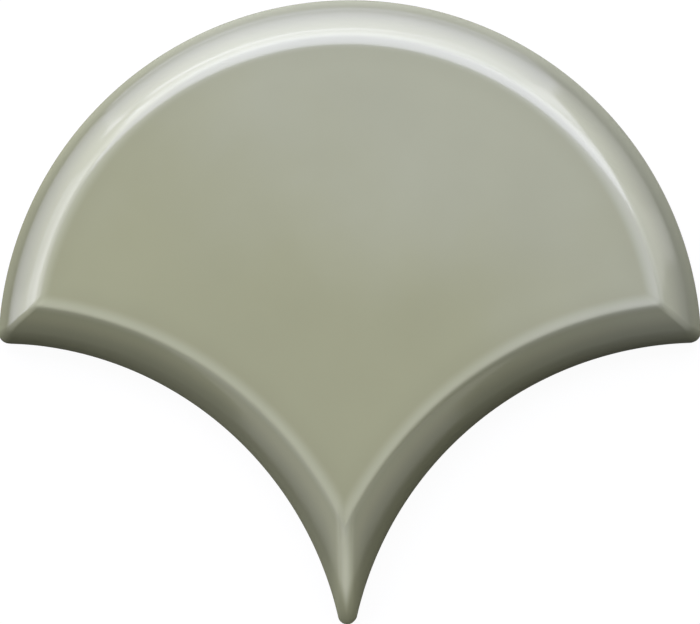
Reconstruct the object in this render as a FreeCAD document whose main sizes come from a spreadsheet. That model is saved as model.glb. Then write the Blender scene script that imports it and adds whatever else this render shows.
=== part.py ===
"""Fish scale wall tile: one piece of pressed and fired clay, lying on its back with its glazed face up.

The outline is a crown arc above two hollow nests, which take the crowns of the tiles in the row below.
A bevel runs round the face: it rolls over from the side, falls at one angle and eases into the flat field.
Millimetres, +Z up. The origin is the centre of the crown arc, on the plane of the back.
"""

import FreeCAD
import Part
import Sketcher

import enum
import math
import os

SHEET = "Sizes"
TILE = "fish_scale_tile"

# Driving dimensions: alias, value and what it is.
DIMENSIONS = [
    ("scale_radius", 75.0, "radius of the crown arc and of both nests, half the width of the tile"),
    ("grout_joint", 1.8, "how far the nests are raised to leave a joint above the row below"),
    ("corner_round", 2.3, "plan radius of the two side corners"),
    ("tip_round", 1.95, "plan radius of the point"),
    ("thickness", 11.0, "back to flat field"),
    ("bevel_width", 8.3, "outline to the line where bevel and field would meet sharp"),
    ("bevel_angle", 30.0, "fall of the bevel, in degrees"),
    ("arris_round", 12.5, "radius between bevel and field"),
    ("edge_round", 6.0, "radius between side and bevel"),
    ("back_chamfer", 0.5, "chamfer round the back"),
    ("key_rim", 7.0, "plain rim of the back, outline to the ends of the key grooves"),
    ("key_pitch", 8.0, "spacing of the key grooves"),
    ("key_width", 3.6, "width of a key groove"),
    ("key_depth", 0.7, "depth of a key groove"),
]

# The angle, in degrees, at which the rolled edge meets the side: it crosses the side instead of grazing it.
EDGE_MEETING = 12.0
# A key groove is at least this many times as long as it is wide.
LEAST_KEY_ASPECT = 2.0
# The bevel cutters' turns, in degrees: the crown's stops short of the point, and a nest's goes right round.
CROWN_SWEEP = 240.0
FULL_TURN = 360.0


class Spot(enum.IntEnum):
    """The ends and the centre of a line or arc, as drawings number them."""

    START = 1
    END = 2
    CENTRE = 3


class Datum(enum.IntEnum):
    """The axes of a drawing, as drawings number them. The origin is the start of the level one."""

    LEVEL = -1
    UPRIGHT = -2


START, END, CENTRE = Spot
ORIGIN = (Datum.LEVEL, Spot.START)


def ref(alias):
    """The name of a sheet cell in an expression."""
    return f"{SHEET}.{alias}"


def make_sheet(doc):
    """The spreadsheet of driving dimensions."""
    sheet = doc.addObject("Spreadsheet::Sheet", SHEET)
    for row, (alias, value, note) in enumerate(DIMENSIONS, start=1):
        sheet.set(f"A{row}", alias)
        sheet.set(f"B{row}", str(value))
        sheet.set(f"C{row}", note)
        sheet.setAlias(f"B{row}", alias)
    doc.recompute()
    return sheet


def add_sketch(body, name, plane):
    """A sketch on one of the body's own origin planes."""
    sketch = body.newObject("Sketcher::SketchObject", name)
    support = next(f for f in body.Origin.OriginFeatures if f.Role == plane)
    sketch.AttachmentSupport = [(support, "")]
    sketch.MapMode = "FlatFace"
    return sketch


def constrain(sketch, *definition, name=None, value=None):
    """Add a constraint, and bind it to an expression if it has a name."""
    index = sketch.addConstraint(Sketcher.Constraint(*definition))
    if name:
        sketch.renameConstraint(index, name)
        sketch.setExpression(f"Constraints.{name}", value)


def add_arc(sketch, centre, radius, start, end):
    """Add an arc that runs counter-clockwise about its centre, from the direction of start to that of end."""
    angles = [math.atan2(p.y - centre.y, p.x - centre.x) for p in (start, end)]
    circle = Part.Circle(centre, FreeCAD.Vector(0, 0, 1), radius)
    return sketch.addGeometry(Part.ArcOfCircle(circle, *angles), False)


def add_line(sketch, start, end):
    """Add a straight line."""
    return sketch.addGeometry(Part.LineSegment(start, end), False)


def mirrored(point):
    """The point on the other side of the tile."""
    return FreeCAD.Vector(-point.x, point.y, 0)


def left_corner_centre(sheet, nest):
    """Centre of the side corner's arc, which touches the crown from inside and the nest from outside."""
    from_crown = sheet.scale_radius - sheet.corner_round
    from_nest = sheet.scale_radius + sheet.corner_round
    spacing = nest.Length
    along = (from_crown**2 - from_nest**2 + spacing**2) / (2 * spacing)
    aside = math.sqrt(from_crown**2 - along**2)
    towards = nest / spacing
    return towards * along + FreeCAD.Vector(towards.y, -towards.x, 0) * aside


def draw_outline(body, sheet):
    """The plan of the tile: crown, two nests, and the rounded corners and point between them."""
    sketch = add_sketch(body, "outline", "XY_Plane")
    radius = sheet.scale_radius
    crown_centre = FreeCAD.Vector(0, 0, 0)
    left_nest_centre = FreeCAD.Vector(-radius, sheet.grout_joint - radius, 0)
    right_nest_centre = mirrored(left_nest_centre)
    left_centre = left_corner_centre(sheet, left_nest_centre)
    right_centre = mirrored(left_centre)
    tip_rise = math.sqrt((radius + sheet.tip_round) ** 2 - radius**2)
    tip_centre = FreeCAD.Vector(0, left_nest_centre.y + tip_rise, 0)

    crown = add_arc(sketch, crown_centre, radius, right_centre, left_centre)
    left_corner = add_arc(sketch, left_centre, sheet.corner_round, left_centre * 2, left_nest_centre)
    left_nest = add_arc(sketch, left_nest_centre, radius, tip_centre, left_centre)
    tip = add_arc(sketch, tip_centre, sheet.tip_round, left_nest_centre, right_nest_centre)
    right_nest = add_arc(sketch, right_nest_centre, radius, right_centre, tip_centre)
    right_corner = add_arc(sketch, right_centre, sheet.corner_round, right_nest_centre, right_centre * 2)

    for joint in (
        (crown, END, left_corner, START),
        (left_corner, END, left_nest, END),
        (left_nest, START, tip, START),
        (tip, END, right_nest, END),
        (right_nest, START, right_corner, START),
        (right_corner, END, crown, START),
    ):
        constrain(sketch, "Tangent", *joint)
    constrain(sketch, "Coincident", crown, CENTRE, *ORIGIN)
    constrain(sketch, "Symmetric", left_nest, CENTRE, right_nest, CENTRE, Datum.UPRIGHT)
    for nest in (left_nest, right_nest):
        constrain(sketch, "Equal", crown, nest)
    constrain(sketch, "Equal", left_corner, right_corner)
    constrain(sketch, "Radius", crown, radius, name="crown_radius", value=ref("scale_radius"))
    constrain(
        sketch, "DistanceX", *ORIGIN, right_nest, CENTRE, radius,
        name="nest_across", value=ref("scale_radius"),
    )
    constrain(
        sketch, "DistanceY", right_nest, CENTRE, *ORIGIN, -right_nest_centre.y,
        name="nest_below", value=f"{ref('scale_radius')} - {ref('grout_joint')}",
    )
    constrain(
        sketch, "Radius", left_corner, sheet.corner_round, name="corner_round", value=ref("corner_round")
    )
    constrain(sketch, "Radius", tip, sheet.tip_round, name="tip_round", value=ref("tip_round"))
    return sketch


def bevel_points(sheet, inward):
    """The corners of the section that is cut away along one side, and the centres of its arcs.

    Across the drawing runs the distance from the side's axis, and up it the height. inward is -1 where
    the tile lies between the side and its axis, as behind the crown, and 1 where it lies beyond the side,
    as behind a nest.
    """
    angle = math.radians(sheet.bevel_angle)
    rise, run = math.sin(angle), math.cos(angle)
    arris_tangent = sheet.arris_round * math.tan(angle / 2)
    edge_tangent = sheet.edge_round * math.tan(math.pi / 4 - angle / 2)
    overlap = sheet.edge_round * (1 - math.cos(math.radians(EDGE_MEETING)))

    def at(depth, height):
        """The point at this depth behind the side."""
        return FreeCAD.Vector(sheet.scale_radius + inward * depth, height, 0)

    # The bevel's line runs from the sharp edge, just outside the side, to the sharp arris.
    edge_height = sheet.thickness - (sheet.bevel_width + overlap) * math.tan(angle)
    side_top = at(-overlap, edge_height - edge_tangent)
    field_edge = at(sheet.bevel_width + arris_tangent, sheet.thickness)
    return {
        "side_top": side_top,
        "edge_centre": side_top + FreeCAD.Vector(inward * sheet.edge_round, 0, 0),
        "bevel_foot": at(edge_tangent * run - overlap, edge_height + edge_tangent * rise),
        "bevel_head": at(sheet.bevel_width - arris_tangent * run, sheet.thickness - arris_tangent * rise),
        "arris_centre": field_edge - FreeCAD.Vector(0, sheet.arris_round, 0),
        "field_edge": field_edge,
        "above_field": field_edge + FreeCAD.Vector(0, sheet.thickness, 0),
        "outside_top": at(-sheet.thickness, 2 * sheet.thickness),
        "outside_foot": at(-sheet.thickness, side_top.y),
    }


def draw_bevel_section(body, sheet, name, plane, inward):
    """The section that is cut away along one side, drawn through that side's axis as bevel_points says."""
    sketch = add_sketch(body, name, plane)
    points = bevel_points(sheet, inward)
    # The arcs run counter-clockwise, so their ends change places with the side on which the tile lies.
    outer, inner = (START, END) if inward < 0 else (END, START)
    edge_ends = (points["side_top"], points["bevel_foot"])[:: -inward]
    arris_ends = (points["bevel_head"], points["field_edge"])[:: -inward]
    edge = add_arc(sketch, points["edge_centre"], sheet.edge_round, *edge_ends)
    arris = add_arc(sketch, points["arris_centre"], sheet.arris_round, *arris_ends)
    bevel = add_line(sketch, points["bevel_foot"], points["bevel_head"])
    riser = add_line(sketch, points["field_edge"], points["above_field"])
    top = add_line(sketch, points["above_field"], points["outside_top"])
    outside = add_line(sketch, points["outside_top"], points["outside_foot"])
    foot = add_line(sketch, points["outside_foot"], points["side_top"])

    constrain(sketch, "Tangent", edge, inner, bevel, START)
    constrain(sketch, "Tangent", bevel, END, arris, outer)
    for joint in (
        (arris, inner, riser, START),
        (riser, END, top, START),
        (top, END, outside, START),
        (outside, END, foot, START),
        (foot, END, edge, outer),
    ):
        constrain(sketch, "Coincident", *joint)
    for upright in (riser, outside):
        constrain(sketch, "Vertical", upright)
    for level in (top, foot):
        constrain(sketch, "Horizontal", level)
    constrain(sketch, "Vertical", arris, CENTRE, arris, inner)
    constrain(sketch, "Horizontal", edge, CENTRE, edge, outer)

    side = ref("scale_radius")
    into_tile, out_of_tile = ("+", "-") if inward > 0 else ("-", "+")
    fall = f"{ref('bevel_angle')} * 1 deg"
    slope = math.radians(sheet.bevel_angle)
    constrain(sketch, "Radius", edge, sheet.edge_round, name="edge_round", value=ref("edge_round"))
    constrain(sketch, "Radius", arris, sheet.arris_round, name="arris_round", value=ref("arris_round"))
    constrain(
        sketch, "Angle", bevel, slope if inward > 0 else math.pi - slope,
        name="bevel_angle", value=fall if inward > 0 else f"180 deg - {fall}",
    )
    constrain(
        sketch, "DistanceX", *ORIGIN, arris, inner, points["field_edge"].x, name="field_edge",
        value=f"{side} {into_tile} ({ref('bevel_width')} + {ref('arris_round')} * tan({fall} / 2))",
    )
    constrain(
        sketch, "DistanceY", *ORIGIN, arris, inner, sheet.thickness,
        name="thickness", value=ref("thickness"),
    )
    constrain(
        sketch, "DistanceX", *ORIGIN, edge, outer, points["side_top"].x, name="side",
        value=f"{side} {out_of_tile} {ref('edge_round')} * (1 - cos({EDGE_MEETING} deg))",
    )
    constrain(
        sketch, "DistanceX", *ORIGIN, outside, END, points["outside_foot"].x,
        name="outside", value=f"{side} {out_of_tile} {ref('thickness')}",
    )
    constrain(
        sketch, "DistanceY", riser, START, riser, END, sheet.thickness,
        name="above_field", value=ref("thickness"),
    )
    return sketch


def cut_bevel(body, sketch, angle):
    """Cut a bevel section round its side's axis, the sketch's own upright axis."""
    groove = body.newObject("PartDesign::Groove", sketch.Name.replace("section", "bevel"))
    groove.Profile = sketch
    groove.ReferenceAxis = (sketch, ["V_Axis"])
    groove.Midplane = True
    groove.Angle = angle
    return groove


def crown_key_reach(sheet, y):
    """Half the length that the crown's rim leaves for a key groove on the line at y."""
    guide_radius = sheet.scale_radius - sheet.key_rim
    outer_edge = abs(y) + sheet.key_width / 2
    return math.sqrt(max(guide_radius**2 - outer_edge**2, 0.0))


def nest_key_reach(sheet, y):
    """Half the length that the nests' rims leave for a key groove on the line at y."""
    guide_radius = sheet.scale_radius + sheet.key_rim
    above_nest = y - sheet.key_width / 2 + sheet.scale_radius - sheet.grout_joint
    if above_nest >= guide_radius:
        return math.inf
    return sheet.scale_radius - math.sqrt(guide_radius**2 - above_nest**2)


def key_reach(sheet, y):
    """Half the length of the key groove on the line at y."""
    return min(crown_key_reach(sheet, y), nest_key_reach(sheet, y))


def key_rows(sheet):
    """The lines of the key grooves, in pitches above the crown's centre, which lies between two of them."""
    rows = []
    for step in (1, -1):
        row = step / 2
        while key_reach(sheet, row * sheet.key_pitch) > LEAST_KEY_ASPECT * sheet.key_width / 2:
            rows.append(row)
            row += step
    return rows


def draw_key_grooves(body, sheet):
    """The key grooves of the back: level slots that stop at an even rim, which two guide circles set out."""
    sketch = add_sketch(body, "key_grooves", "XY_Plane")
    up = FreeCAD.Vector(0, 0, 1)
    nest_centre = FreeCAD.Vector(-sheet.scale_radius, sheet.grout_joint - sheet.scale_radius, 0)
    crown_reach = sheet.scale_radius - sheet.key_rim
    nest_reach = sheet.scale_radius + sheet.key_rim
    crown_guide = sketch.addGeometry(Part.Circle(FreeCAD.Vector(0, 0, 0), up, crown_reach), True)
    nest_guide = sketch.addGeometry(Part.Circle(nest_centre, up, nest_reach), True)
    constrain(sketch, "Coincident", crown_guide, CENTRE, *ORIGIN)
    constrain(
        sketch, "DistanceX", nest_guide, CENTRE, *ORIGIN, -nest_centre.x,
        name="nest_across", value=ref("scale_radius"),
    )
    constrain(
        sketch, "DistanceY", nest_guide, CENTRE, *ORIGIN, -nest_centre.y,
        name="nest_below", value=f"{ref('scale_radius')} - {ref('grout_joint')}",
    )
    constrain(
        sketch, "Radius", crown_guide, crown_reach,
        name="crown_reach", value=f"{ref('scale_radius')} - {ref('key_rim')}",
    )
    constrain(
        sketch, "Radius", nest_guide, nest_reach,
        name="nest_reach", value=f"{ref('scale_radius')} + {ref('key_rim')}",
    )
    for number, row in enumerate(key_rows(sheet), start=1):
        middle = row * sheet.key_pitch
        reach = key_reach(sheet, middle)
        low = middle - sheet.key_width / 2
        high = middle + sheet.key_width / 2
        places = ((-reach, low), (reach, low), (reach, high), (-reach, high))
        corners = [FreeCAD.Vector(x, y, 0) for x, y in places]
        bottom, right, top, left = (
            add_line(sketch, corner, corners[(i + 1) % len(corners)]) for i, corner in enumerate(corners)
        )
        for line, following in ((bottom, right), (right, top), (top, left), (left, bottom)):
            constrain(sketch, "Coincident", line, END, following, START)
        constrain(sketch, "Symmetric", bottom, START, bottom, END, Datum.UPRIGHT)
        constrain(sketch, "Horizontal", top)
        for upright in (left, right):
            constrain(sketch, "Vertical", upright)
        constrain(
            sketch, "DistanceY", left, END, left, START, sheet.key_width,
            name=f"key_width_{number}", value=ref("key_width"),
        )
        constrain(
            sketch, "DistanceY", *ORIGIN, left, START, high,
            name=f"key_line_{number}", value=f"{row} * {ref('key_pitch')} + {ref('key_width')} / 2",
        )
        by_nest = nest_key_reach(sheet, middle) < crown_key_reach(sheet, middle)
        outer_corner = (bottom, START) if by_nest or middle < 0 else (left, START)
        constrain(sketch, "PointOnObject", *outer_corner, nest_guide if by_nest else crown_guide)
    return sketch


def build_tile(doc, sheet):
    """The tile as one body: its plan raised to full thickness, then bevelled, chamfered and keyed."""
    body = doc.addObject("PartDesign::Body", TILE)
    body.Label = TILE
    planes = {plane.Role: plane for plane in body.Origin.OriginFeatures}

    slab = body.newObject("PartDesign::Pad", "slab")
    slab.Profile = draw_outline(body, sheet)
    slab.setExpression("Length", ref("thickness"))
    doc.recompute()

    back_edges = [
        f"Edge{number}" for number, edge in enumerate(slab.Shape.Edges, start=1)
        if edge.BoundBox.ZMax < sheet.thickness / 2
    ]
    chamfer = body.newObject("PartDesign::Chamfer", "back_chamfer")
    chamfer.Base = (slab, back_edges)
    chamfer.setExpression("Size", ref("back_chamfer"))
    doc.recompute()

    crown_section = draw_bevel_section(body, sheet, "crown_section", "YZ_Plane", inward=-1)
    crown_bevel = cut_bevel(body, crown_section, CROWN_SWEEP)
    nest_section = draw_bevel_section(body, sheet, "nest_section", "XZ_Plane", inward=1)
    nest_section.setExpression("AttachmentOffset.Base.x", f"-{ref('scale_radius')}")
    nest_section.setExpression("AttachmentOffset.Base.z", f"{ref('scale_radius')} - {ref('grout_joint')}")
    nest_bevel = cut_bevel(body, nest_section, FULL_TURN)
    doc.recompute()
    other_nest_bevel = body.newObject("PartDesign::Mirrored", "other_nest_bevel")
    other_nest_bevel.Originals = [nest_bevel]
    other_nest_bevel.MirrorPlane = (planes["YZ_Plane"], [""])
    body.Tip = other_nest_bevel
    doc.recompute()

    keys = body.newObject("PartDesign::Pocket", "keys")
    keys.Profile = draw_key_grooves(body, sheet)
    keys.Reversed = True
    keys.setExpression("Length", ref("key_depth"))
    body.Tip = keys
    doc.recompute()
    return body, [slab, chamfer, crown_bevel, nest_bevel, other_nest_bevel, keys]


def check(doc, body, features):
    """Stop if any object failed, if the tile isn't one sound solid, or if a cut took nothing away."""
    for item in doc.Objects:
        if {"Invalid", "Error"} & set(item.State):
            raise RuntimeError(f"{item.Name} failed: {item.State}")
    if body.Shape.isNull() or not body.Shape.isValid() or len(body.Shape.Solids) != 1:
        raise RuntimeError("the tile is not one valid solid")
    for before, after in zip(features, features[1:]):
        if after.Shape.Volume >= before.Shape.Volume:
            raise RuntimeError(f"{after.Name} cuts nothing")


def main():
    """Build the tile and write its solid."""
    doc = FreeCAD.newDocument("fish_scale_tile")
    sheet = make_sheet(doc)
    body, features = build_tile(doc, sheet)
    check(doc, body, features)
    os.makedirs("parts", exist_ok=True)
    body.Shape.exportStep(f"parts/{body.Label}.step")
    box = body.Shape.optimalBoundingBox(False, False)
    print(f"{body.Label}: {box.XLength:.2f} x {box.YLength:.2f} x {box.ZLength:.2f} mm, "
          f"{body.Shape.Volume / 1000:.2f} cm3")


main()
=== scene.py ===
"""Dress the fish scale tile: a glazed, bevelled face on a body of pressed clay, in a white studio.

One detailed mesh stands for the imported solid. It keeps the solid's plan and section, and adds the softened
mitres, the slight waviness of the glaze and the surface detail that the solid leaves out. Metres, in the
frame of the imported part: the origin is the centre of the crown arc on the plane of the back, +Y runs to the
top of the crown, and +Z points out of the glazed face.
"""

import enum
import logging
import math
from collections.abc import Sequence
from dataclasses import dataclass
from typing import ClassVar

import bmesh
import bpy
import numpy as np
from mathutils import Matrix, Vector
from mathutils.geometry import delaunay_2d_cdt


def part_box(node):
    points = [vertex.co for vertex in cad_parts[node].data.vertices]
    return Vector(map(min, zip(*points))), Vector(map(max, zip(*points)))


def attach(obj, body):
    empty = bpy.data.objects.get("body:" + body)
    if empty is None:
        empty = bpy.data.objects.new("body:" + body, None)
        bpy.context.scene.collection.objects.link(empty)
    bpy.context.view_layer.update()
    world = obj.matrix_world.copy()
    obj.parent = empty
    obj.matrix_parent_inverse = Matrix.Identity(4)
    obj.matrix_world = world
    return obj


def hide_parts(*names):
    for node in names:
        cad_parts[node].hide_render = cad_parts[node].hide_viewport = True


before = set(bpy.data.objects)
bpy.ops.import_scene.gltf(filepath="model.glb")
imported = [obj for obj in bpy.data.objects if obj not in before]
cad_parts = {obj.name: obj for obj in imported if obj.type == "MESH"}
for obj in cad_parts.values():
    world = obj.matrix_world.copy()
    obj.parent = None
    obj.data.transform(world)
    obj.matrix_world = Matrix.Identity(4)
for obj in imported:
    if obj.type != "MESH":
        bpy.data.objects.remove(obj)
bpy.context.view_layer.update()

MM = 0.001
TILE_NODE = "fish_scale_tile"
ROOT_BODY = "root"
PICTURE_WIDTH = 700

Colour = tuple[float, float, float]
Span = tuple[float, float]
Noise = dict[str, float]
Socket = bpy.types.NodeSocket
Tree = bpy.types.NodeTree
Feed = float | Sequence[float] | Socket

COOL_WHITE: Colour = (0.955, 0.96, 1.15)

log = logging.getLogger("fish_scale_tile")


class Finish(enum.IntEnum):
    """The tile's finishes, in the order of its material slots."""

    GLAZE = 0
    BISCUIT = 1


@dataclass(frozen=True)
class Arc:
    """A stretch of a circle in plan.

    Attributes:
        centre: Centre of the circle.
        radius: Radius of the circle.
        start: Angle of the first point, anticlockwise from +X.
        end: Angle of the last point, smaller than start where the arc runs clockwise.
        columns: Number of steps along the arc.
        CLUSTERING: How strongly those steps crowd towards its ends, from 0 to 1.
    """

    centre: tuple[float, float]
    radius: float
    start: float
    end: float
    columns: int

    CLUSTERING: ClassVar[float] = 0.75

    def points(self) -> np.ndarray:
        """Lay points along the arc, closer together towards its ends.

        Returns:
            The points in plan, one row each, without the arc's last point.
        """
        even = np.arange(self.columns) / self.columns
        share = even - self.CLUSTERING * np.sin(2 * np.pi * even) / (2 * np.pi)
        angle = self.start + (self.end - self.start) * share
        directions = np.column_stack((np.cos(angle), np.sin(angle)))
        return np.array(self.centre) + self.radius * directions


@dataclass(frozen=True)
class Outline:
    """The plan of the tile: the crown over two nests, with rounded corners and a rounded point.

    Attributes:
        scale_radius: Radius of the crown and of both nests.
        grout_joint: How far the nests are raised to leave a joint above the row below.
        corner_round: Plan radius of the side corners.
        tip_round: Plan radius of the point.
        mitre_round: Plan radius of the side mitres on the bevel, further in than mitre_depth.
        ridge_round: Plan radius of the ridge above the point, further in than mitre_depth.
        mitre_depth: Depth behind the outline over which these take on their radius.
        crown_columns: Steps along the crown.
        nest_columns: Steps along a nest.
        corner_columns: Steps round a corner or the point.
    """

    scale_radius: float
    grout_joint: float = 1.8 * MM
    corner_round: float = 2.3 * MM
    tip_round: float = 1.95 * MM
    mitre_round: float = 1.2 * MM
    ridge_round: float = 1.7 * MM
    mitre_depth: float = 3.0 * MM
    crown_columns: int = 280
    nest_columns: int = 140
    corner_columns: int = 16

    @property
    def nest_centre(self) -> tuple[float, float]:
        """The centre of the left nest."""
        return -self.scale_radius, self.grout_joint - self.scale_radius

    def rounding(self, at_outline: float, on_bevel: float, inset: float) -> float:
        """Ease a corner's plan radius from the outline's to the bevel's.

        Args:
            at_outline: The radius on the outline.
            on_bevel: The radius on the bevel.
            inset: Depth behind the outline.

        Returns:
            The radius at that depth.
        """
        share = min(max(inset / self.mitre_depth, 0.0), 1.0)
        eased = share * share * (3 - 2 * share)
        return at_outline + (on_bevel - at_outline) * eased

    def corner_centre(self, inset: float, radius: float) -> tuple[float, float]:
        """Find the left corner's arc, which touches the crown from inside and the nest from outside.

        Args:
            inset: Depth behind the outline.
            radius: The arc's radius.

        Returns:
            The arc's centre.
        """
        from_crown = self.scale_radius - inset - radius
        from_nest = self.scale_radius + inset + radius
        nest_x, nest_y = self.nest_centre
        spacing = math.hypot(nest_x, nest_y)
        along = (from_crown**2 - from_nest**2 + spacing**2) / (2 * spacing)
        aside = math.sqrt(from_crown**2 - along**2)
        return (nest_x * along + nest_y * aside) / spacing, (nest_y * along - nest_x * aside) / spacing

    def loop(self, inset: float) -> np.ndarray:
        """Draw the outline moved inwards, as an anticlockwise ring.

        Args:
            inset: How far it is moved in.

        Returns:
            The ring's points in plan, with the same number and order at every inset.
        """
        corner_radius = self.rounding(self.corner_round, self.mitre_round, inset)
        tip_radius = self.rounding(self.tip_round, self.ridge_round, inset)
        nest_x, nest_y = self.nest_centre
        crown_radius, nest_radius = self.scale_radius - inset, self.scale_radius + inset
        corner_x, corner_y = self.corner_centre(inset, corner_radius)
        tip_y = nest_y + math.sqrt((nest_radius + tip_radius) ** 2 - nest_x**2)

        crown_end = math.atan2(corner_y, corner_x)
        nest_start = math.atan2(corner_y - nest_y, corner_x - nest_x)
        nest_end = math.atan2(tip_y - nest_y, -nest_x)
        half_turn = math.pi
        nest_columns, corner_columns = self.nest_columns, self.corner_columns
        arcs = (
            Arc((0.0, 0.0), crown_radius, half_turn - crown_end, crown_end, self.crown_columns),
            Arc((corner_x, corner_y), corner_radius, crown_end, half_turn + nest_start, corner_columns),
            Arc((nest_x, nest_y), nest_radius, nest_start, nest_end, nest_columns),
            Arc((0.0, tip_y), tip_radius, half_turn + nest_end, 2 * half_turn - nest_end, corner_columns),
            Arc((-nest_x, nest_y), nest_radius, half_turn - nest_end, half_turn - nest_start, nest_columns),
            Arc((-corner_x, corner_y), corner_radius, -nest_start, half_turn - crown_end, corner_columns),
        )
        return np.vstack([arc.points() for arc in arcs])


@dataclass(frozen=True)
class BevelSection:
    """The section of the bevel, from the top of the side to the edge of the flat field.

    Attributes:
        thickness: Back to flat field.
        bevel_width: Outline to the line where bevel and field would meet sharp.
        bevel_angle: Fall of the bevel.
        arris_round: Radius between bevel and field.
        edge_round: Radius between side and bevel.
        edge_meeting: Angle at which the rolled edge meets the side.
        edge_steps: Steps round the rolled edge.
        bevel_steps: Steps up the straight bevel.
        arris_steps: Steps round the arris.
    """

    thickness: float
    bevel_width: float = 8.3 * MM
    bevel_angle: float = math.radians(30.0)
    arris_round: float = 12.5 * MM
    edge_round: float = 6.0 * MM
    edge_meeting: float = math.radians(12.0)
    edge_steps: int = 16
    bevel_steps: int = 5
    arris_steps: int = 22

    @property
    def field_depth(self) -> float:
        """Depth behind the outline at which the face is flat."""
        return self.bevel_width + self.arris_round * math.tan(self.bevel_angle / 2)

    def edge_arc(self) -> np.ndarray:
        """Draw the rolled edge, from the side's top to the foot of the bevel.

        Returns:
            Depths and heights, one row each.
        """
        slope = np.linspace(math.pi / 2 - self.edge_meeting, self.bevel_angle, self.edge_steps + 1)
        depth = self.edge_round * (math.cos(self.edge_meeting) - np.sin(slope))
        foot_height = self.thickness - (self.bevel_width - depth[-1]) * math.tan(self.bevel_angle)
        height = foot_height + self.edge_round * (np.cos(slope) - math.cos(self.bevel_angle))
        return np.column_stack((depth, height))

    def arris_arc(self) -> np.ndarray:
        """Draw the arris, from the head of the bevel to the field.

        Returns:
            Depths and heights, one row each.
        """
        slope = np.linspace(self.bevel_angle, 0.0, self.arris_steps + 1)
        depth = self.field_depth - self.arris_round * np.sin(slope)
        height = self.thickness - self.arris_round * (1 - np.cos(slope))
        return np.column_stack((depth, height))

    def levels(self) -> np.ndarray:
        """Lay out the whole section.

        Returns:
            Depths and heights from the side's top to the field's edge, one row each.
        """
        edge, arris = self.edge_arc(), self.arris_arc()
        shares = np.linspace(0, 1, self.bevel_steps + 1)[1:-1, None]
        bevel = edge[-1] + (arris[0] - edge[-1]) * shares
        return np.vstack((edge, bevel, arris))


@dataclass(frozen=True)
class KeyGrooves:
    """The key grooves of the back: level slots that stop at an even rim.

    Attributes:
        outline: The plan that the rim follows.
        rim: Plain rim, outline to the ends of the grooves.
        pitch: Spacing of the grooves.
        width: Width of a groove at its mouth.
        depth: Depth of a groove.
        draft: How much narrower a groove is at its floor, on each side.
        corner: Plan radius of a groove's corners.
        corner_steps: Steps round such a corner.
        least_aspect: A groove is at least this many times as long as it is wide.
    """

    outline: Outline
    rim: float = 7.0 * MM
    pitch: float = 8.0 * MM
    width: float = 3.6 * MM
    depth: float = 0.7 * MM
    draft: float = 0.2 * MM
    corner: float = 0.9 * MM
    corner_steps: int = 5
    least_aspect: float = 2.0

    def reach(self, middle: float) -> float:
        """Find how far a groove runs to each side.

        Args:
            middle: The line of the groove.

        Returns:
            Half the groove's length, or zero where there is no room for one.
        """
        radius, joint = self.outline.scale_radius, self.outline.grout_joint
        outer_edge = abs(middle) + self.width / 2
        crown = math.sqrt(max((radius - self.rim) ** 2 - outer_edge**2, 0.0))
        above_nest = middle - self.width / 2 + radius - joint
        beside_nest = (radius + self.rim) ** 2 - above_nest**2
        if beside_nest <= 0:
            return crown
        return min(crown, radius - math.sqrt(beside_nest))

    def lines(self) -> list[float]:
        """List the lines of the grooves, from half a pitch to each side of the crown's centre outwards.

        Returns:
            The place of each line along Y.
        """
        lines = []
        for step in (self.pitch, -self.pitch):
            middle = step / 2
            while self.reach(middle) > self.least_aspect * self.width / 2:
                lines.append(middle)
                middle += step
        return lines

    def ring(self, middle: float, inset: float) -> np.ndarray:
        """Draw a groove in plan, as an anticlockwise ring.

        Args:
            middle: The line of the groove.
            inset: How far the ring lies inside the groove's mouth.

        Returns:
            The ring's points in plan.
        """
        corner = self.corner - inset
        across = self.reach(middle) - self.corner
        along = self.width / 2 - self.corner
        quarter = np.linspace(0, np.pi / 2, self.corner_steps + 1)
        corners = []
        for turn, (side_x, side_y) in enumerate(((1, 1), (-1, 1), (-1, -1), (1, -1))):
            angle = quarter + turn * np.pi / 2
            corners.append(np.column_stack((
                side_x * across + corner * np.cos(angle),
                middle + side_y * along + corner * np.sin(angle),
            )))
        return np.vstack(corners)


@dataclass(frozen=True)
class Waviness:
    """The slow waviness of a glazed face, as a few crossing swells.

    Attributes:
        height: Height of the waviness about its mean.
        swells: For each swell its length, its bearing in degrees and its phase in turns.
    """

    height: float = 0.012 * MM
    swells: tuple[tuple[float, float, float], ...] = (
        (46 * MM, 20.0, 0.1),
        (31 * MM, 105.0, 0.55),
        (23 * MM, 160.0, 0.3),
        (17 * MM, 65.0, 0.8),
    )

    def at(self, plan: np.ndarray) -> np.ndarray:
        """Work out the waviness.

        Args:
            plan: Points in plan, one row each.

        Returns:
            How far the face lies above its mean at each point.
        """
        total = np.zeros(len(plan))
        for length, bearing, phase in self.swells:
            direction = np.array((math.cos(math.radians(bearing)), math.sin(math.radians(bearing))))
            total += np.sin(2 * np.pi * (plan @ direction / length + phase))
        return self.height * total / len(self.swells)


def link_object(name: str, data: bpy.types.ID) -> bpy.types.Object:
    """Put a mesh, light or camera in the scene under its name."""
    made = bpy.data.objects.new(name, data)
    bpy.context.scene.collection.objects.link(made)
    return made


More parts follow.
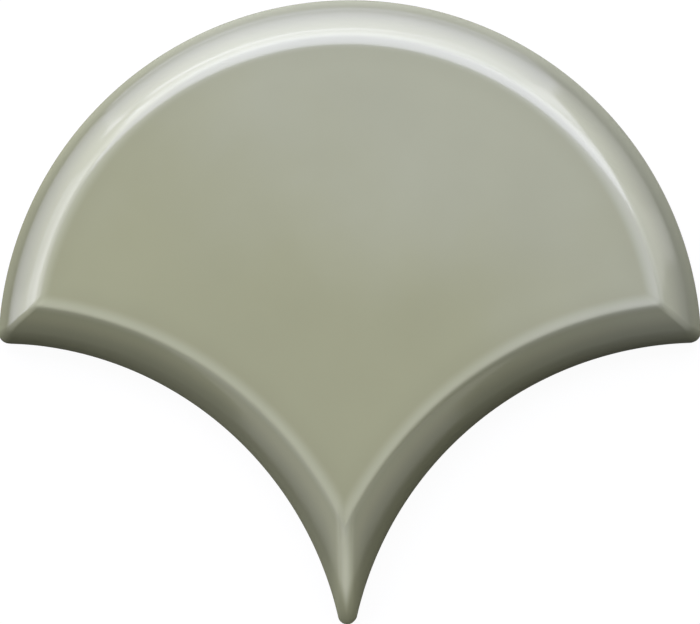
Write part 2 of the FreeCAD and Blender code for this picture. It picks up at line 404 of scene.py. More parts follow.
class MeshDraft:
    """Points and faces on their way to becoming a mesh."""

    def __init__(self) -> None:
        """Start with nothing."""
        self.points: list[np.ndarray] = []
        self.faces: list[tuple[int, ...]] = []
        self.finishes: list[Finish] = []
        self.count = 0

    def add_ring(self, plan: np.ndarray, height: float | np.ndarray) -> np.ndarray:
        """Add the points of a ring.

        Args:
            plan: Its points in plan, one row each.
            height: Its height, or the height of each point.

        Returns:
            The numbers of its points.
        """
        heights = np.broadcast_to(height, len(plan))
        self.points.append(np.column_stack((plan, heights)))
        numbers = np.arange(self.count, self.count + len(plan))
        self.count += len(plan)
        return numbers

    def add_face(self, corners: Sequence[int], finish: Finish) -> None:
        """Add one face with its finish."""
        self.faces.append(tuple(int(corner) for corner in corners))
        self.finishes.append(finish)

    def join(self, outer: np.ndarray, inner: np.ndarray, finish: Finish) -> None:
        """Join two rings of as many points with a band of faces.

        Args:
            outer: The numbers of the points of one ring.
            inner: The numbers of the points of the other.
            finish: The finish of the band.
        """
        following_outer, following_inner = np.roll(outer, -1), np.roll(inner, -1)
        for corners in zip(outer, following_outer, following_inner, inner):
            self.add_face(corners, finish)

    def to_object(self, name: str, sharp_angle: float) -> bpy.types.Object:
        """Make the object.

        Args:
            name: The name of the object and its mesh.
            sharp_angle: Edges that turn by more than this stay sharp.

        Returns:
            The new object, in the scene.
        """
        mesh = bpy.data.meshes.new(name)
        mesh.from_pydata(np.vstack(self.points).tolist(), [], self.faces)
        mesh.polygons.foreach_set("material_index", [int(finish) for finish in self.finishes])
        mesh.polygons.foreach_set("use_smooth", [True] * len(mesh.polygons))
        sculpt = bmesh.new()
        sculpt.from_mesh(mesh)
        bmesh.ops.recalc_face_normals(sculpt, faces=sculpt.faces)
        sculpt.to_mesh(mesh)
        sculpt.free()
        mesh.set_sharp_from_angle(angle=sharp_angle)
        mesh.update()
        return link_object(name, mesh)


class Graph:
    """Adds nodes to a shader tree, with their settings and what feeds them."""

    def __init__(self, tree: Tree) -> None:
        """Take the tree that the nodes go into."""
        self.tree = tree

    def feed(self, socket: Socket, value: Feed) -> None:
        """Link a socket to what feeds it, or set its value."""
        if isinstance(value, Socket):
            self.tree.links.new(value, socket)
        else:
            socket.default_value = value

    def node(
        self, kind: str, feeds: dict[str | int, Feed] | None = None, **settings: object
    ) -> bpy.types.Node:
        """Add a node.

        Args:
            kind: The node's type, without its ShaderNode prefix where it has one.
            feeds: For an input's name or number, its value or the socket that feeds it.
            settings: The node's other properties.

        Returns:
            The new node.
        """
        full_kind = kind if kind.startswith("Node") else f"ShaderNode{kind}"
        made = self.tree.nodes.new(full_kind)
        for name, value in settings.items():
            setattr(made, name, value)
        for name, value in (feeds or {}).items():
            self.feed(made.inputs[name], value)
        return made

    def math(self, operation: str, *operands: Feed) -> Socket:
        """Add a sum on values and return its result."""
        return self.node("Math", dict(enumerate(operands)), operation=operation).outputs[0]

    def ramp(self, value: Feed, low: float, high: float, start: float = 0.0, end: float = 1.0) -> Socket:
        """Ease a value from one level to another.

        Args:
            value: The value.
            low: Where the ramp begins.
            high: Where it ends.
            start: The result at its beginning and before.
            end: The result at its end and after.

        Returns:
            The result's socket.
        """
        feeds = {"Value": value, "From Min": low, "From Max": high, "To Min": start, "To Max": end}
        return self.node("MapRange", feeds, interpolation_type="SMOOTHSTEP").outputs["Result"]

    def mix_colour(self, share: Feed, first: Feed, second: Feed, blend: str = "MIX") -> Socket:
        """Mix two colours.

        Args:
            share: How much of the second colour there is.
            first: The first colour.
            second: The second colour.
            blend: How the second colour goes over the first.

        Returns:
            The mixed colour's socket.
        """
        made = self.node("Mix", data_type="RGBA", blend_type=blend)
        inputs = {socket.identifier: socket for socket in made.inputs}
        for name, value in (("Factor_Float", share), ("A_Color", first), ("B_Color", second)):
            self.feed(inputs[name], value)
        return next(socket for socket in made.outputs if socket.identifier == "Result_Color")

    def toned(self, colour: Feed, tone: Socket) -> Socket:
        """Multiply a colour by a tone."""
        grey = self.node("CombineColor", dict.fromkeys(("Red", "Green", "Blue"), tone))
        return self.mix_colour(1.0, colour, grey.outputs["Color"], blend="MULTIPLY")

    def place(self, group: Tree, feeds: dict[str, Feed] | None = None) -> bpy.types.Node:
        """Add a group with its own values."""
        return self.node("Group", feeds, node_tree=group)


def opaque(colour: Colour) -> tuple[float, float, float, float]:
    """The colour with full alpha, as sockets take it."""
    return (*colour, 1.0)


class GroupDraft(Graph):
    """A shader node group in the making."""

    def __init__(self, name: str, inputs: dict[str, float], outputs: dict[str, str]) -> None:
        """Make the group with its sockets.

        Args:
            name: The group's name.
            inputs: The name and usual value of each number that goes in.
            outputs: The name and socket type of each result.
        """
        super().__init__(bpy.data.node_groups.new(name, "ShaderNodeTree"))
        for label, usual in inputs.items():
            socket = self.tree.interface.new_socket(label, in_out="INPUT", socket_type="NodeSocketFloat")
            socket.default_value = usual
        for label, kind in outputs.items():
            self.tree.interface.new_socket(label, in_out="OUTPUT", socket_type=kind)
        self.given = self.node("NodeGroupInput").outputs
        self.results = self.node("NodeGroupOutput")

    def give(self, label: str, socket: Socket) -> None:
        """Put a result out under its name."""
        self.tree.links.new(socket, self.results.inputs[label])


@dataclass(frozen=True)
class SurfaceEffects:
    """The node groups that the finishes share.

    Attributes:
        cloud: Slow cloudy changes of tone, about 1.
        grain: Fine relief, about 0.5.
        rim: Depth behind the outline, in metres, and masks of the point and of the ridge above it.
        crisp: How far the clay's crisper arris stands over the glaze's own, in metres.
        clay: Colour, roughness and relief of the fired clay.
        RIDGE_WIDTH: How far the mask of the ridge reaches.
        POINT_WIDTH: How far the mask of the point reaches.
        CLAY_ARRIS: How far the clay's own arris is rounded.
        CLAY: Colour of the clay.
        CLAY_SPECK: Colour of its specks.
        CLAY_CLOUD: Its cloudy tone.
        CLAY_GRAIN: Its fine relief.
        GRAIN_SPAN: Heights of that relief between which the roughness changes.
        CLAY_ROUGHNESS: The roughness at those heights.
        SPECK_GRAIN: The relief whose peaks are the specks.
        SPECK_SPAN: Heights of that relief over which a speck comes in.
        SPECK_SHARE: How strongly a speck shows.
    """

    cloud: Tree
    grain: Tree
    rim: Tree
    crisp: Tree
    clay: Tree

    RIDGE_WIDTH: ClassVar[float] = 4.2 * MM
    POINT_WIDTH: ClassVar[float] = 9.0 * MM
    CLAY_ARRIS: ClassVar[float] = 1.5 * MM
    CLAY: ClassVar[Colour] = (0.63, 0.55, 0.44)
    CLAY_SPECK: ClassVar[Colour] = (0.36, 0.27, 0.19)
    CLAY_CLOUD: ClassVar[Noise] = {"Scale": 60.0, "Contrast": 0.35}
    CLAY_GRAIN: ClassVar[Noise] = {"Scale": 1400.0, "Detail": 4.0}
    GRAIN_SPAN: ClassVar[Span] = (0.3, 0.7)
    CLAY_ROUGHNESS: ClassVar[Span] = (0.92, 0.8)
    SPECK_GRAIN: ClassVar[Noise] = {"Scale": 2600.0, "Detail": 1.0}
    SPECK_SPAN: ClassVar[Span] = (0.66, 0.74)
    SPECK_SHARE: ClassVar[float] = 0.6

    @classmethod
    def build(cls, outline: Outline, section: BevelSection) -> "SurfaceEffects":
        """Build the groups.

        Args:
            outline: The plan that the rim's depth is measured from.
            section: The section that the glaze's surface follows.

        Returns:
            The groups.
        """
        cloud, grain = cls.cloud_group(), cls.grain_group()
        rim, crisp = cls.rim_group(outline), cls.crisp_group(section)
        return cls(cloud, grain, rim, crisp, cls.clay_group(cloud, grain))

    @staticmethod
    def cloud_group() -> Tree:
        """Make the group of slow cloudy changes of tone.

        Returns:
            The group.
        """
        draft = GroupDraft("cloudy_tone", {"Scale": 40.0, "Contrast": 0.1}, {"Tone": "NodeSocketFloat"})
        place = draft.node("TexCoord").outputs["Object"]
        noise = draft.node(
            "TexNoise", {"Vector": place, "Scale": draft.given["Scale"], "Detail": 3.0, "Roughness": 0.5}
        )
        swing = draft.math("SUBTRACT", noise.outputs["Fac"], 0.5)
        draft.give("Tone", draft.math("MULTIPLY_ADD", swing, draft.given["Contrast"], 1.0))
        return draft.tree

    @staticmethod
    def grain_group() -> Tree:
        """Make the group of fine relief.

        Returns:
            The group.
        """
        draft = GroupDraft("fine_grain", {"Scale": 800.0, "Detail": 2.0}, {"Height": "NodeSocketFloat"})
        place = draft.node("TexCoord").outputs["Object"]
        feeds = {name: draft.given[name] for name in ("Scale", "Detail")}
        noise = draft.node("TexNoise", {"Vector": place, "Roughness": 0.55, **feeds})
        draft.give("Height", noise.outputs["Fac"])
        return draft.tree

    @classmethod
    def rim_group(cls, outline: Outline) -> Tree:
        """Make the group that measures depth behind the outline and marks the point and its ridge.

        Args:
            outline: The plan.

        Returns:
            The group.
        """
        draft = GroupDraft("rim_depth", {}, dict.fromkeys(("Depth", "Ridge", "Point"), "NodeSocketFloat"))
        place = draft.node("TexCoord").outputs["Object"]
        flat = draft.node("VectorMath", {0: place, 1: (1.0, 1.0, 0.0)}, operation="MULTIPLY").outputs[0]
        nest_x, nest_y = outline.nest_centre

        def distance(centre: tuple[float, float]) -> Socket:
            """Measure from a centre in plan."""
            feeds = {0: flat, 1: (*centre, 0.0)}
            return draft.node("VectorMath", feeds, operation="DISTANCE").outputs["Value"]

        behind_crown = draft.math("SUBTRACT", outline.scale_radius, distance((0.0, 0.0)))
        behind_left = draft.math("SUBTRACT", distance((nest_x, nest_y)), outline.scale_radius)
        behind_right = draft.math("SUBTRACT", distance((-nest_x, nest_y)), outline.scale_radius)
        depth = draft.math("SMOOTH_MIN", behind_left, behind_right, outline.mitre_round)
        draft.give("Depth", draft.math("SMOOTH_MIN", depth, behind_crown, outline.mitre_round))
        apart = draft.math("ABSOLUTE", draft.math("SUBTRACT", behind_left, behind_right))
        below = draft.ramp(draft.math("SUBTRACT", behind_crown, behind_left), 0.0, cls.RIDGE_WIDTH)
        for name, width in (("Ridge", cls.RIDGE_WIDTH), ("Point", cls.POINT_WIDTH)):
            middle = draft.ramp(apart, 0.0, width, 1.0, 0.0)
            draft.give(name, draft.math("MULTIPLY", middle, below))
        return draft.tree

    @classmethod
    def crisp_group(cls, section: BevelSection) -> Tree:
        """Make the group of the clay's arris, which the glaze rounds over.

        Args:
            section: The section that the glaze's surface follows.

        Returns:
            The group.
        """
        draft = GroupDraft("crisp_arris", {"Depth": 0.0}, {"Height": "NodeSocketFloat"})
        head = section.field_depth - section.arris_round * math.sin(section.bevel_angle)
        outside = draft.math("SUBTRACT", draft.given["Depth"], head)
        outside = draft.math("MAXIMUM", draft.math("DIVIDE", outside, math.cos(section.bevel_angle)), 0.0)
        inside = draft.math("SUBTRACT", section.field_depth, draft.given["Depth"])
        inside = draft.math("MAXIMUM", inside, 0.0)
        nearest = draft.math("SMOOTH_MIN", outside, inside, cls.CLAY_ARRIS)
        squared = draft.math("MULTIPLY", nearest, nearest)
        draft.give("Height", draft.math("DIVIDE", squared, 2 * section.arris_round))
        return draft.tree

    @classmethod
    def clay_group(cls, cloud: Tree, grain: Tree) -> Tree:
        """Make the group of the fired clay.

        Args:
            cloud: The group of cloudy tone.
            grain: The group of fine relief.

        Returns:
            The group.
        """
        outputs = {"Color": "NodeSocketColor", "Roughness": "NodeSocketFloat", "Height": "NodeSocketFloat"}
        draft = GroupDraft("fired_clay", {}, outputs)
        tone = draft.place(cloud, cls.CLAY_CLOUD).outputs["Tone"]
        relief = draft.place(grain, cls.CLAY_GRAIN).outputs["Height"]
        specks = draft.place(grain, cls.SPECK_GRAIN).outputs["Height"]
        toned = draft.toned(opaque(cls.CLAY), tone)
        speckled = draft.ramp(specks, *cls.SPECK_SPAN, 0.0, cls.SPECK_SHARE)
        draft.give("Color", draft.mix_colour(speckled, toned, opaque(cls.CLAY_SPECK)))
        draft.give("Roughness", draft.ramp(relief, *cls.GRAIN_SPAN, *cls.CLAY_ROUGHNESS))
        draft.give("Height", relief)
        return draft.tree


class MaterialDraft(Graph):
    """A material in the making."""

    def __init__(self, name: str, effects: SurfaceEffects) -> None:
        """Make the material with its usual shader.

        Args:
            name: The material's name.
            effects: The shared groups.
        """
        self.made = bpy.data.materials.new(name)
        self.made.use_nodes = True
        super().__init__(self.made.node_tree)
        self.effects = effects

    def finish(self, feeds: dict[str, Feed]) -> bpy.types.Material:
        """Feed the shader.

        Args:
            feeds: For an input's name, its value or the socket that feeds it.

        Returns:
            The material.
        """
        shader = self.tree.nodes["Principled BSDF"]
        for name, value in feeds.items():
            self.feed(shader.inputs[name], value)
        return self.made


@dataclass(frozen=True)
class Glaze:
    """The sage green glaze, which ends in an uneven line low on the side.

    Attributes:
        olive: Its colour at the lower left of the tile.
        grey: The lighter, cooler colour that it turns to towards the upper right: a painted reflection sheen.
        sheen_drift: Direction and steepness of that painted sheen, per metre.
        sheen_drift_span: Where along it the painted sheen begins and ends.
        sheen_drift_cloud: The cloudy tone that breaks the painted sheen up.
        mottle: The faint cloudy tone all over.
        pooled_and_shaded: What it is multiplied by towards the rim: painted shade on the falling bevel, where
            the glaze also lies thicker.
        thinned_and_halo: What it is multiplied by over the arris: a lighter, bluer painted halo of light,
            where the glaze also lies thinner.
        broken_and_highlit: What it is multiplied by on the ridge of the point: a lighter, bluer painted
            highlight, where the glaze also breaks.
        pool_shade_rise: Depth behind the outline at which that painted shade reaches its full strength.
        pool_shade_start: How strongly it shows on the outline, next to that.
        pool_shade_depth: Depths behind the outline over which the darkened colour goes.
        arris_depth: Depth behind the outline at which the painted halo is brightest.
        arris_reach: How far the lighter stretch runs outwards and inwards from there.
        ridge_foot: Depths behind the outline over which the painted highlight on the ridge begins.
        dry_depth: Depths behind the outline over which its dry, thin coat on the sides becomes full gloss.
        dry_coat: How much of the gloss is left on the sides.
        face_depth: Depths behind the outline over which the gloss softens towards the flat face.
        face_share: How much of the gloss is left on the flat face.
        foot_height: Mean height of its lower edge above the back.
        foot_wander: How far that edge wanders up and down.
        foot_grain: The relief that it wanders by.
        foot_fade: How far to each side of that edge the glaze thins out.
        gloss: The roughness of its clear top.
        body: The roughness of the glaze below that.
        body_sheen: How much light the body of the glaze mirrors by itself, under its clear top.
        ior: Its index of refraction.
        ripple: Height of its fine ripple.
        ripple_grain: The relief that makes that ripple.
    """

    olive: Colour = (0.303, 0.308, 0.190)
    # painted reflection sheen: the glaze made lighter and cooler towards the upper right
    grey: Colour = (0.339, 0.347, 0.247)
    sheen_drift: tuple[float, float, float] = (10.0, 20.0, 0.0)
    sheen_drift_span: Span = (-0.1, 1.3)
    sheen_drift_cloud: ClassVar[Noise] = {"Scale": 26.0, "Contrast": 1.4}
    mottle: ClassVar[Noise] = {"Scale": 38.0, "Contrast": 0.12}
    # painted shade towards the rim, partly thicker glaze
    pooled_and_shaded: Colour = (0.65, 0.65, 0.66)
    # painted halo of light over the arris, partly thinner glaze
    thinned_and_halo: Colour = (1.31, 1.31, 1.45)
    # painted highlight on the ridge of the point, partly broken glaze
    broken_and_highlit: Colour = (1.75, 1.75, 2.0)
    pool_shade_rise: float = 2.6 * MM
    pool_shade_start: float = 0.45
    pool_shade_depth: Span = (2.2 * MM, 7.0 * MM)
    arris_depth: float = 8.8 * MM
    arris_reach: Span = (1.9 * MM, 2.6 * MM)
    ridge_foot: Span = (1.6 * MM, 3.4 * MM)
    dry_depth: Span = (1.6 * MM, 4.0 * MM)
    dry_coat: float = 0.04
    face_depth: Span = (10.0 * MM, 16.0 * MM)
    face_share: float = 0.32
    foot_height: float = 1.1 * MM
    foot_wander: float = 0.9 * MM
    foot_grain: ClassVar[Noise] = {"Scale": 160.0, "Detail": 3.0}
    foot_fade: float = 0.06 * MM
    gloss: float = 0.12
    body: float = 0.4
    body_sheen: float = 0.0
    ior: float = 1.66
    ripple: float = 0.004 * MM
    ripple_grain: ClassVar[Noise] = {"Scale": 420.0, "Detail": 1.0}

    def cover_and_light_nodes(self, draft: MaterialDraft) -> tuple[tuple[Socket, Colour], ...]:
        """Add the nodes of the painted shade and highlights, which follow where the glaze lies thick and
        thin.

        Args:
            draft: The material in the making.

        Returns:
            The masks of the painted shade by the rim, the painted halo over the arris and the painted
            highlight on the ridge, each with what it multiplies the colour by.
        """
        rim = draft.place(draft.effects.rim).outputs
        depth = rim["Depth"]
        outer_reach, inner_reach = self.arris_reach
        # painted halo of light over the arris, brightest at arris_depth
        rise = draft.ramp(depth, self.arris_depth - outer_reach, self.arris_depth)
        fall = draft.ramp(depth, self.arris_depth, self.arris_depth + inner_reach, 1.0, 0.0)
        arris = draft.math("MULTIPLY", rise, fall)
        # painted highlight on the ridge above the point, left off where the arris halo rises
        ridge_highlight = draft.math("MULTIPLY", rim["Ridge"], draft.ramp(depth, *self.ridge_foot))
        ridge_highlight = draft.math("MULTIPLY", ridge_highlight, draft.math("SUBTRACT", 1.0, rise))
        # painted shade on the bevel towards the rim, left off at the point
        pool_shade_rising = draft.ramp(depth, 0.0, self.pool_shade_rise, self.pool_shade_start, 1.0)
        pool_shade = draft.math("MULTIPLY", pool_shade_rising, draft.ramp(depth, *self.pool_shade_depth, 1.0, 0.0))
        pool_shade = draft.math("MULTIPLY", pool_shade, draft.math("SUBTRACT", 1.0, rim["Point"]))
        return (pool_shade, self.pooled_and_shaded), (arris, self.thinned_and_halo), (ridge_highlight, self.broken_and_highlit)

    def colour_nodes(self, draft: MaterialDraft) -> Socket:
        """Add the nodes of the glaze's colour, with its painted sheen, shade and highlights.

        Args:
            draft: The material in the making.

        Returns:
            The colour's socket.
        """
        colour = self.sheen_drift_nodes(draft)
        # painted shade by the rim and painted highlights over the arris and on the ridge
        for mask, change in self.cover_and_light_nodes(draft):
            colour = draft.mix_colour(mask, colour, opaque(change), blend="MULTIPLY")
        tone = draft.place(draft.effects.cloud, self.mottle).outputs["Tone"]
        return draft.toned(colour, tone)

    def sheen_drift_nodes(self, draft: MaterialDraft) -> Socket:
        """Add the nodes of the painted reflection sheen, from olive to a lighter, cooler grey, which has a
        cloudy edge.

        Args:
            draft: The material in the making.

        Returns:
            The colour's socket, with the painted sheen.
        """
        place = draft.node("TexCoord").outputs["Object"]
        sheen_drift = draft.node("VectorMath", {0: place, 1: self.sheen_drift}, operation="DOT_PRODUCT")
        tone = draft.place(draft.effects.cloud, self.sheen_drift_cloud).outputs["Tone"]
        along = draft.math("ADD", sheen_drift.outputs["Value"], draft.math("SUBTRACT", tone, 1.0))
        # painted reflection sheen: olive turns to the lighter, cooler grey towards the upper right
        return draft.mix_colour(draft.ramp(along, *self.sheen_drift_span), opaque(self.olive), opaque(self.grey))

    def bare_foot(self, draft: MaterialDraft) -> Socket:
        """Add the nodes of the mask of bare clay under the glaze's lower edge.

        Args:
            draft: The material in the making.

        Returns:
            The mask's socket.
        """
        place = draft.node("TexCoord").outputs["Object"]
        height = draft.node("SeparateXYZ", {0: place}).outputs["Z"]
        wander = draft.place(draft.effects.grain, self.foot_grain).outputs["Height"]
        edge = draft.math("MULTIPLY_ADD", wander, self.foot_wander, self.foot_height - self.foot_wander / 2)
        over = draft.math("SUBTRACT", height, edge)
        return draft.ramp(over, -self.foot_fade, self.foot_fade, 1.0, 0.0)

    def material(self, effects: SurfaceEffects) -> bpy.types.Material:
        """Make the material.

        Args:
            effects: The shared groups.

        Returns:
            The material.
        """
        draft = MaterialDraft("sage_glaze", effects)
        bare = self.bare_foot(draft)
        clay = draft.place(effects.clay).outputs
        colour = draft.mix_colour(bare, self.colour_nodes(draft), clay["Color"])
        roughness = draft.node("Mix", {0: bare, 2: self.body, 3: clay["Roughness"]}).outputs[0]
        depth = draft.place(effects.rim).outputs["Depth"]
        covered = draft.ramp(depth, *self.dry_depth, self.dry_coat, 1.0)
        towards_face = draft.ramp(depth, *self.face_depth, 1.0, self.face_share)
        covered = draft.math("MULTIPLY", covered, towards_face)
        clear = draft.math("MULTIPLY", covered, draft.math("SUBTRACT", 1.0, bare))
        ripple = draft.place(effects.grain, self.ripple_grain).outputs["Height"]
        relief = draft.node("Bump", {"Strength": 1.0, "Distance": self.ripple, "Height": ripple})
        crisp = draft.place(effects.crisp, {"Depth": depth}).outputs["Height"]
        feeds = {"Strength": 1.0, "Distance": 1.0, "Height": crisp, "Normal": relief.outputs[0]}
        body = draft.node("Bump", feeds)
        return draft.finish({
            "Base Color": colour, "Roughness": roughness, "Normal": body.outputs[0],
            "IOR": self.ior, "Specular IOR Level": self.body_sheen,
            "Coat Weight": clear, "Coat Roughness": self.gloss, "Coat IOR": self.ior,
        })


@dataclass(frozen=True)
class Biscuit:
    """The bare fired clay of the back.

    Attributes:
        tooth: Height of its relief.
        rubbed: Its colour along the rim, where tiles rub in their box.
        rub_depth: Depth behind the outline at which the rubbing has gone.
        rub_share: How strongly it shows on the outline.
    """

    tooth: float = 0.05 * MM
    rubbed: Colour = (0.70, 0.63, 0.53)
    rub_depth: float = 3.0 * MM
    rub_share: float = 0.7

    def material(self, effects: SurfaceEffects) -> bpy.types.Material:
        """Make the material.

        Args:
            effects: The shared groups.

        Returns:
            The material.
        """
        draft = MaterialDraft("bare_biscuit", effects)
        clay = draft.place(effects.clay).outputs
        depth = draft.place(effects.rim).outputs["Depth"]
        rubbed = draft.ramp(depth, 0.0, self.rub_depth, self.rub_share, 0.0)
        colour = draft.mix_colour(rubbed, clay["Color"], opaque(self.rubbed))
        relief = draft.node("Bump", {"Strength": 1.0, "Distance": self.tooth, "Height": clay["Height"]})
        return draft.finish({
            "Base Color": colour, "Roughness": clay["Roughness"], "Normal": relief.outputs[0],
        })


@dataclass
class Tile:
    """The tile: its glazed face and sides, and its bare back.

    Attributes:
        outline: Its plan.
        section: Its bevel.
        keys: The grooves of its back.
        waviness: The waviness of its glazed face.
        glaze: The finish of its face and sides.
        biscuit: The finish of its back.
        back_chamfer: Chamfer round the back.
        side_steps: Steps up the side.
        field_rings: Rings on the flat field.
        field_centre: The point that those rings shrink to.
        sharp_angle: Edges that turn by more than this stay sharp.
    """

    outline: Outline
    section: BevelSection
    keys: KeyGrooves
    waviness: Waviness
    glaze: Glaze
    biscuit: Biscuit
    back_chamfer: float = 0.5 * MM
    side_steps: int = 4
    field_rings: int = 22
    field_centre: tuple[float, float] = (0.0, 15 * MM)
    sharp_angle: float = math.radians(30.0)

    @classmethod
    def from_frame(cls) -> "Tile":
        """Take the tile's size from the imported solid, whose origin is the centre of its crown.

        Returns:
            The tile, not built yet.
        """
        lowest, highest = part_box(TILE_NODE)
        outline = Outline(scale_radius=highest.y)
        section = BevelSection(thickness=highest.z - lowest.z)
        return cls(outline, section, KeyGrooves(outline), Waviness(), Glaze(), Biscuit())

    def build(self) -> bpy.types.Object:
        """Build the tile's mesh.

        Returns:
            The tile, in the scene.
        """
        draft = MeshDraft()
        rim = self.build_back(draft)
        field_edge = self.build_sides(draft, rim)
        self.build_field(draft, field_edge)
        return draft.to_object("glazed_tile", self.sharp_angle)

    def build_back(self, draft: MeshDraft) -> np.ndarray:
        """Build the back with its grooves.

        Args:
            draft: The mesh.

        Returns:
            The numbers of the points round the back.
        """
        plan = self.outline.loop(self.back_chamfer)
        rim = draft.add_ring(plan, 0.0)
        rings, plans = [rim], [plan]
        for middle in self.keys.lines():
            mouth_plan = self.keys.ring(middle, 0.0)
            mouth = draft.add_ring(mouth_plan, 0.0)
            floor = draft.add_ring(self.keys.ring(middle, self.keys.draft), self.keys.depth)
            draft.join(mouth, floor, Finish.BISCUIT)
            draft.add_face(floor, Finish.BISCUIT)
            rings.append(mouth)
            plans.append(mouth_plan)
        self.fill_back(draft, rings, plans)
        return rim

    def fill_back(self, draft: MeshDraft, rings: list[np.ndarray], plans: list[np.ndarray]) -> None:
        """Fill the flat of the back, between its rim and its grooves.

        Args:
            draft: The mesh.
            rings: The numbers of the points of the rim, then of each groove's mouth.
            plans: The same points in plan.
        """
        numbers = np.concatenate(rings)
        ring_of = np.repeat(np.arange(len(rings)), [len(ring) for ring in rings])
        borders = []
        first = 0
        for ring in rings:
            places = np.arange(first, first + len(ring))
            borders += list(zip(places.tolist(), np.roll(places, -1).tolist()))
            first += len(ring)
        points = [Vector(point) for point in np.vstack(plans) / MM]
        inside_borders, nearness = 1, 1e-6
        made = delaunay_2d_cdt(points, borders, [], inside_borders, nearness)
        triangles, sources = made[2], made[3]
        for triangle in triangles:
            corners = [sources[corner][0] for corner in triangle]
            in_one_groove = len({ring_of[corner] for corner in corners}) == 1 and ring_of[corners[0]] > 0
            if not in_one_groove:
                draft.add_face(numbers[corners], Finish.BISCUIT)

    def build_sides(self, draft: MeshDraft, rim: np.ndarray) -> np.ndarray:
        """Build the chamfer, the sides and the bevel.

        Args:
            draft: The mesh.
            rim: The numbers of the points round the back.

        Returns:
            The numbers of the points round the flat field.
        """
        levels = self.section.levels()
        side_plan = self.outline.loop(0.0)
        below = draft.add_ring(side_plan, self.back_chamfer)
        draft.join(rim, below, Finish.GLAZE)
        for height in np.linspace(self.back_chamfer, levels[0, 1], self.side_steps + 1)[1:-1]:
            above = draft.add_ring(side_plan, height)
            draft.join(below, above, Finish.GLAZE)
            below = above
        for depth, height in levels:
            plan = self.outline.loop(depth)
            above = draft.add_ring(plan, height + self.waviness.at(plan))
            draft.join(below, above, Finish.GLAZE)
            below = above
        return below

    def build_field(self, draft: MeshDraft, field_edge: np.ndarray) -> None:
        """Build the flat field, in rings that shrink to one point.

        Args:
            draft: The mesh.
            field_edge: The numbers of the points round it.
        """
        edge_plan = self.outline.loop(self.section.field_depth)
        centre = np.array(self.field_centre)
        outer = field_edge
        for share in np.linspace(1, 0, self.field_rings + 1)[1:-1]:
            plan = centre + (edge_plan - centre) * share
            inner = draft.add_ring(plan, self.section.thickness + self.waviness.at(plan))
            draft.join(outer, inner, Finish.GLAZE)
            outer = inner
        middle_plan = centre[None, :]
        middle = draft.add_ring(middle_plan, self.section.thickness + self.waviness.at(middle_plan))[0]
        for corner, following in zip(outer, np.roll(outer, -1)):
            draft.add_face((corner, following, middle), Finish.GLAZE)

    def dress(self, piece: bpy.types.Object, effects: SurfaceEffects) -> None:
        """Give the tile its finishes.

        Args:
            piece: The tile's mesh.
            effects: The shared groups.
        """
        piece.data.materials.append(self.glaze.material(effects))
        piece.data.materials.append(self.biscuit.material(effects))

    def seat(self, piece: bpy.types.Object) -> None:
        """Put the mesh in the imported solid's place.

        Args:
            piece: The tile's mesh.
        """
        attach(piece, ROOT_BODY)
        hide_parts(TILE_NODE)


def pointed(place: Vector, back: Vector, across: Vector) -> Matrix:
    """Turn a light or camera, which looks along its own -Z.

    Args:
        place: Where it stands.
        back: The direction that its back faces.
        across: The direction of its own +X.

    Returns:
        Its matrix.
    """
    turn = Matrix((across, back.cross(across), back)).transposed().to_4x4()
    return Matrix.Translation(place) @ turn


@dataclass(frozen=True)
class Softbox:
    """A flat soft light that faces the tile.

    Attributes:
        name: What it is for.
        tilt: Angle from straight above the tile, in degrees.
        bearing: Direction in plan, in degrees anticlockwise from +X.
        width: Its size along the horizon.
        height: Its size across that.
        brightness: Its radiance, where 1 shows as white.
        tint: Its colour.
        distance: How far away it stands.
        POWER_PER_AREA: The lamp's power for each unit of area and radiance.
    """

    name: str
    tilt: float
    bearing: float
    width: float
    height: float
    brightness: float
    tint: Colour = (1.0, 1.0, 1.0)
    distance: float = 1.2

    POWER_PER_AREA: ClassVar[float] = math.pi

    def build(self, aim: Vector) -> None:
        """Hang the light.

        Args:
            aim: The point that it faces.
        """
        lamp = bpy.data.lights.new(self.name, "AREA")
        lamp.shape = "RECTANGLE"
        lamp.size, lamp.size_y = self.width, self.height
        lamp.energy = self.brightness * self.POWER_PER_AREA * self.width * self.height
        lamp.color = self.tint
        made = link_object(self.name, lamp)
        tilt, bearing = math.radians(self.tilt), math.radians(self.bearing)
        away = Vector((
            math.sin(tilt) * math.cos(bearing), math.sin(tilt) * math.sin(bearing), math.cos(tilt),
        ))
        across = Vector((-math.sin(bearing), math.cos(bearing), 0.0))
        made.matrix_world = pointed(aim + away * self.distance, away, across)
        made.visible_camera = False


@dataclass(frozen=True)
class Floor:
    """The white floor.

    Attributes:
        size: Length of a side.
        drop: How far it lies under the tile's back.
        glow: How bright it shows by itself to the camera and in reflections.
        colour: Its own colour, which the shadow falls on.
    """

    size: float = 8.0
    drop: float = 0.1 * MM
    glow: float = 0.95
    colour: Colour = (0.06, 0.06, 0.06)

    def build(self) -> None:
        """Lay the floor."""
        half = self.size / 2
        mesh = bpy.data.meshes.new("studio_floor")
        corners = [(x * half, y * half, -self.drop) for x, y in ((-1, -1), (1, -1), (1, 1), (-1, 1))]
        mesh.from_pydata(corners, [], [(0, 1, 2, 3)])
        mesh.materials.append(self.material())
        link_object("studio_floor", mesh)

    def material(self) -> bpy.types.Material:
        """Make the floor's material.

        Returns:
            The material.
        """
        made = bpy.data.materials.new("white_floor")
        made.use_nodes = True
        made.node_tree.nodes.clear()
        graph = Graph(made.node_tree)
        path = graph.node("LightPath").outputs
        seen = graph.math("MAXIMUM", path["Is Camera Ray"], path["Is Glossy Ray"])
        seen = graph.math("MAXIMUM", seen, path["Is Transmission Ray"])
        glow = graph.node("Emission", {"Strength": graph.math("MULTIPLY", seen, self.glow)})
        matte = graph.node("BsdfDiffuse", {"Color": opaque(self.colour)})
        both = graph.node("AddShader", {0: matte.outputs[0], 1: glow.outputs[0]})
        graph.node("OutputMaterial", {"Surface": both.outputs[0]})
        return made


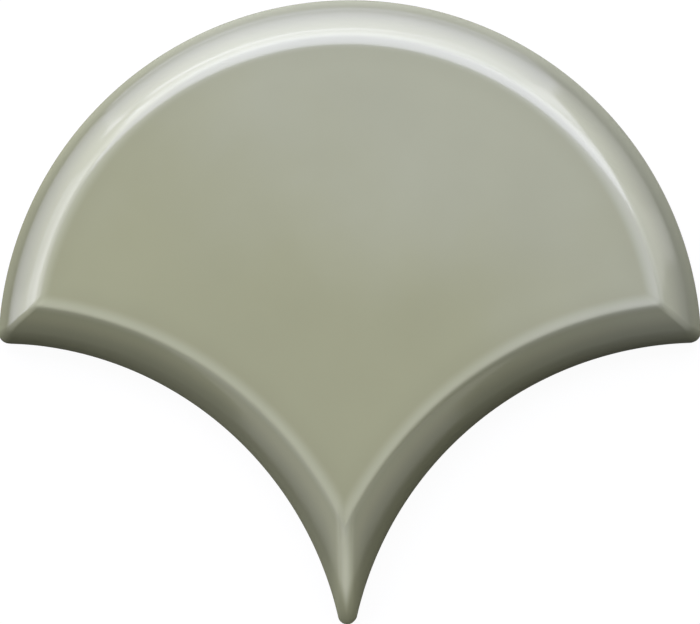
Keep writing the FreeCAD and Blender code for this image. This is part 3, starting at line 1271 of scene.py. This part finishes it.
@dataclass(frozen=True)
class Camera:
    """The camera, which looks down on the face and leans a little to the right.

    Attributes:
        aim: The point in the middle of the picture.
        lean_right: How far it leans towards +X, in degrees.
        lean_down: How far it leans towards -Y, in degrees.
        distance: How far it stands from that point.
        focal_pixels: Its focal length, in pixels of the picture.
        sensor: Width of its sensor, in millimetres.
    """

    aim: tuple[float, float, float] = (0.35 * MM, 8.5 * MM, 0.0)
    lean_right: float = 3.85
    lean_down: float = 1.72
    distance: float = 0.65
    focal_pixels: float = 3036.0
    sensor: float = 36.0

    def build(self) -> None:
        """Set the camera up and put it in use."""
        lens = bpy.data.cameras.new("tile_camera")
        lens.sensor_width = self.sensor
        lens.lens = self.focal_pixels * self.sensor / PICTURE_WIDTH
        made = link_object("tile_camera", lens)
        right, down = math.sin(math.radians(self.lean_right)), math.sin(math.radians(self.lean_down))
        back = Vector((right, -down, math.sqrt(1 - right**2 - down**2)))
        across = Vector((0.0, 1.0, 0.0)).cross(back).normalized()
        made.matrix_world = pointed(Vector(self.aim) + back * self.distance, back, across)
        bpy.context.scene.camera = made


@dataclass(frozen=True)
class Studio:
    """The floor, the lights and the camera.

    Attributes:
        floor: The floor.
        camera: The camera.
        softboxes: The lights.
        gloom: Brightness of the room beyond the lights.
    """

    floor: Floor = Floor()
    camera: Camera = Camera()
    softboxes: tuple[Softbox, ...] = (
        Softbox("key_far", 46.5, 91.0, 1.57, 0.31, 3.3, COOL_WHITE),
        Softbox("key_near", 30.4, 88.5, 1.57, 0.35, 3.4, COOL_WHITE),
        Softbox("outer", 70.0, 97.2, 1.90, 0.80, 2.85, COOL_WHITE),
        Softbox("top_low", 83.0, 99.0, 1.85, 0.36, 3.6, COOL_WHITE),
        Softbox("left_upper", 48.0, 169.0, 0.74, 0.56, 1.2, COOL_WHITE),
        Softbox("left", 60.0, 161.0, 0.97, 0.73, 2.35, COOL_WHITE),
        Softbox("right", 54.0, 36.7, 0.77, 0.70, 1.4),
        Softbox("left_back", 57.0, 196.0, 1.10, 1.05, 0.72),
        Softbox("right_back", 55.0, -11.0, 1.60, 1.10, 0.62),
    )
    gloom: float = 0.0

    def build(self) -> None:
        """Set the studio up."""
        self.floor.build()
        log.info("floor laid")
        aim = Vector(self.camera.aim)
        for softbox in self.softboxes:
            softbox.build(aim)
            log.info("softbox %s hung", softbox.name)
        self.camera.build()
        world = bpy.data.worlds.new("studio_room")
        world.use_nodes = True
        world.node_tree.nodes["Background"].inputs["Color"].default_value = opaque((self.gloom,) * 3)
        bpy.context.scene.world = world
        bpy.context.scene.view_settings.view_transform = "Standard"


def main() -> None:
    """Build the tile and its studio."""
    logging.basicConfig(level=logging.INFO, format="%(name)s: %(message)s")
    tile = Tile.from_frame()
    effects = SurfaceEffects.build(tile.outline, tile.section)
    piece = tile.build()
    tile.dress(piece, effects)
    tile.seat(piece)
    log.info("%s built with %d faces", piece.name, len(piece.data.polygons))
    Studio().build()


if __name__ == "__main__":
    main()
